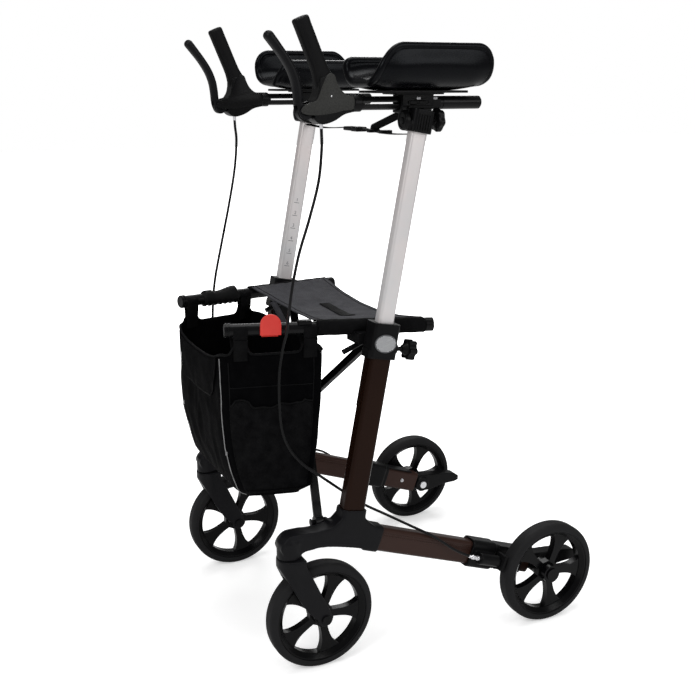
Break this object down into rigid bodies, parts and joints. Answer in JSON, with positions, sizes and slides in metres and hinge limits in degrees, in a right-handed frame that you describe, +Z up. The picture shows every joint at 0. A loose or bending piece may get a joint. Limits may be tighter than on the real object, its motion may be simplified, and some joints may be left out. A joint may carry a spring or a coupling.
{
  "type": "upright walker",
  "caption": "Folding upright rollator with forearm pads on height tubes, braked rear wheels, swivel casters, a sling seat and a front shopping bag.",
  "frame": {"origin": "on the floor, under the middle of the walker's bounding box", "axes": "+Z up, -Y the direction of travel, +X the user's left"},
  "size_m": [0.5864, 0.704, 1.1225],
  "materials": {
    "black_plastic": "satin",
    "brown_paint": "satin metallic",
    "black_paint": "satin",
    "silver_anodised": "satin",
    "steel": "bright",
    "tyre": "matte",
    "rim_plastic": "satin",
    "reflector": "clear",
    "pad_vinyl": "gloss",
    "housing_plastic": "satin",
    "grip_rubber": "matte",
    "cable_jacket": "satin",
    "seat_cloth": "woven",
    "bag_cloth": "woven",
    "webbing": "woven",
    "red_plastic": "satin"
  },
  "bodies": {
    "left_frame": {"left_front_casting": "black_plastic", "left_lower_beam": "brown_paint", "left_brake_housing": "black_plastic", "left_lower_upright": "brown_paint", "left_upright_collar": "black_plastic", "left_reflector": "reflector", "left_kerb_pedal": "black_plastic", "left_rear_axle": "steel"},
    "left_caster": {"left_caster_fork": "black_plastic", "left_front_axle": "steel"},
    "left_front_wheel": {"left_front_rim": "rim_plastic", "left_front_tyre": "tyre"},
    "left_rear_wheel": {"left_rear_rim": "rim_plastic", "left_rear_tyre": "tyre"},
    "left_shoe": {"left_brake_shoe": "grip_rubber"},
    "left_height_knob": {"left_height_knob": "black_plastic"},
    "left_upper": {"left_height_tube": "silver_anodised", "left_arm_clamp": "black_plastic", "left_pad_plate": "housing_plastic", "left_arm_pad": "pad_vinyl", "left_strap": "webbing"},
    "left_clamp_knob": {"left_clamp_knob": "black_plastic"},
    "left_arm": {"left_arm_rail": "black_paint", "left_handle_housing": "housing_plastic", "left_hand_grip": "grip_rubber", "left_brake_cable": "cable_jacket"},
    "left_lever": {"left_brake_lever": "black_plastic"},
    "right_frame": {"right_front_casting": "black_plastic", "right_lower_beam": "brown_paint", "right_brake_housing": "black_plastic", "right_lower_upright": "brown_paint", "right_upright_collar": "black_plastic", "right_reflector": "reflector", "right_kerb_pedal": "black_plastic", "right_rear_axle": "steel"},
    "right_caster": {"right_caster_fork": "black_plastic", "right_front_axle": "steel"},
    "right_front_wheel": {"right_front_rim": "rim_plastic", "right_front_tyre": "tyre"},
    "right_rear_wheel": {"right_rear_rim": "rim_plastic", "right_rear_tyre": "tyre"},
    "right_shoe": {"right_brake_shoe": "grip_rubber"},
    "right_height_knob": {"right_height_knob": "black_plastic"},
    "right_upper": {"right_height_tube": "silver_anodised", "right_arm_clamp": "black_plastic", "right_pad_plate": "housing_plastic", "right_arm_pad": "pad_vinyl", "right_strap": "webbing"},
    "right_clamp_knob": {"right_clamp_knob": "black_plastic"},
    "right_arm": {"right_arm_rail": "black_paint", "right_handle_housing": "housing_plastic", "right_hand_grip": "grip_rubber", "right_brake_cable": "cable_jacket"},
    "right_lever": {"right_brake_lever": "black_plastic"},
    "left_seat_frame": {"left_cross_frame": "black_paint"},
    "right_seat_frame": {"right_cross_frame": "black_paint", "carry_grip": "grip_rubber"},
    "clip": {"fold_clip": "red_plastic"},
    "seat": {"seat_sling": "seat_cloth"},
    "bag": {"shopping_bag": "bag_cloth"}
  },
  "joints": [
    {"name": "fold", "type": "hinge", "parent": "left_frame", "child": "right_seat_frame", "pos_m": [0.1955, -0.2005, 0.262], "axis": [0, 1, 0], "range_deg": [0, 30], "deforming": ["left_strap", "right_strap", "seat_sling", "shopping_bag"]},
    {"name": "fold_centre", "type": "hinge", "parent": "right_seat_frame", "child": "left_seat_frame", "pos_m": [0, -0.13114, 0.43739], "axis": [0, 1, 0], "range_deg": [-60.5, 0.5]},
    {"name": "fold_right", "type": "hinge", "parent": "left_seat_frame", "child": "right_frame", "pos_m": [-0.1955, -0.1775, 0.262], "axis": [0, 1, 0], "range_deg": [-0.5, 30.5]},
    {"name": "seat_rise", "type": "slide", "parent": "left_frame", "child": "seat", "axis": [0.6162, 0, 0.7876], "range_m": [-0.002, 0.18683]},
    {"name": "bag_rise", "type": "slide", "parent": "left_frame", "child": "bag", "axis": [0.676, 0, 0.7369], "range_m": [-0.002, 0.17048]},
    {"name": "clip_turn", "type": "hinge", "parent": "left_seat_frame", "child": "clip", "pos_m": [0.14466, -0.269, 0.61186], "axis": [0.2259, 0.9739, -0.0216], "range_deg": [0, 45]},
    {"name": "left_swivel", "type": "hinge", "parent": "left_frame", "child": "left_caster", "pos_m": [0.2255, -0.27, 0.237], "axis": [0, 0, 1], "continuous": true},
    {"name": "left_front_spin", "type": "hinge", "parent": "left_caster", "child": "left_front_wheel", "pos_m": [0.2255, -0.213, 0.1], "axis": [1, 0, 0], "continuous": true},
    {"name": "left_rear_spin", "type": "hinge", "parent": "left_frame", "child": "left_rear_wheel", "pos_m": [0.2695, 0.251, 0.1], "axis": [1, 0, 0], "continuous": true},
    {"name": "left_lever_pull", "type": "hinge", "parent": "left_arm", "child": "left_lever", "pos_m": [0.205, -0.22435, 0.97373], "axis": [-1, 0, 0], "range_deg": [0, 15], "stiffness_Nm_per_rad": 2, "springref_deg": -8.59},
    {"name": "left_shoe_press", "type": "slide", "parent": "left_frame", "child": "left_shoe", "axis": [0, 0.9426, -0.3338], "range_m": [0, 0.004]},
    {"name": "left_height_knob_turn", "type": "hinge", "parent": "left_frame", "child": "left_height_knob", "pos_m": [0.2255, -0.05609, 0.57179], "axis": [0, 0.9833, -0.1822], "continuous": true},
    {"name": "left_height", "type": "slide", "parent": "left_frame", "child": "left_upper", "axis": [0, 0.1822, 0.9833], "range_m": [-0.15, 0.03], "deforming": ["left_brake_cable"]},
    {"name": "left_clamp_knob_turn", "type": "hinge", "parent": "left_upper", "child": "left_clamp_knob", "pos_m": [0.2225, -0.01735, 0.95973], "axis": [0, 1, 0], "continuous": true},
    {"name": "left_reach", "type": "slide", "parent": "left_upper", "child": "left_arm", "axis": [0, 1, 0], "range_m": [-0.06, 0.02], "deforming": ["left_brake_cable"]},
    {"name": "right_swivel", "type": "hinge", "parent": "right_frame", "child": "right_caster", "pos_m": [-0.2255, -0.27, 0.237], "axis": [0, 0, 1], "continuous": true},
    {"name": "right_front_spin", "type": "hinge", "parent": "right_caster", "child": "right_front_wheel", "pos_m": [-0.2255, -0.213, 0.1], "axis": [1, 0, 0], "continuous": true},
    {"name": "right_rear_spin", "type": "hinge", "parent": "right_frame", "child": "right_rear_wheel", "pos_m": [-0.2695, 0.251, 0.1], "axis": [1, 0, 0], "continuous": true},
    {"name": "right_lever_pull", "type": "hinge", "parent": "right_arm", "child": "right_lever", "pos_m": [-0.205, -0.22435, 0.97373], "axis": [-1, 0, 0], "range_deg": [0, 15], "stiffness_Nm_per_rad": 2, "springref_deg": -8.59},
    {"name": "right_shoe_press", "type": "slide", "parent": "right_frame", "child": "right_shoe", "axis": [0, 0.9426, -0.3338], "range_m": [0, 0.004]},
    {"name": "right_height_knob_turn", "type": "hinge", "parent": "right_frame", "child": "right_height_knob", "pos_m": [-0.2255, -0.05609, 0.57179], "axis": [0, 0.9833, -0.1822], "continuous": true},
    {"name": "right_height", "type": "slide", "parent": "right_frame", "child": "right_upper", "axis": [0, 0.1822, 0.9833], "range_m": [-0.15, 0.03], "deforming": ["right_brake_cable"]},
    {"name": "right_clamp_knob_turn", "type": "hinge", "parent": "right_upper", "child": "right_clamp_knob", "pos_m": [-0.2225, -0.01735, 0.95973], "axis": [0, 1, 0], "continuous": true},
    {"name": "right_reach", "type": "slide", "parent": "right_upper", "child": "right_arm", "axis": [0, 1, 0], "range_m": [-0.06, 0.02], "deforming": ["right_brake_cable"]}
  ],
  "couplings": [
    {"joint": "fold_centre", "follows": "fold", "ratio": -2},
    {"joint": "fold_right", "follows": "fold", "ratio": 1},
    {"joint": "seat_rise", "follows": "fold", "m_per_rad": 0.353},
    {"joint": "bag_rise", "follows": "fold", "m_per_rad": 0.32178},
    {"joint": "left_shoe_press", "follows": "left_lever_pull", "m_per_rad": 0.015279},
    {"joint": "right_shoe_press", "follows": "right_lever_pull", "m_per_rad": 0.015279}
  ]
}
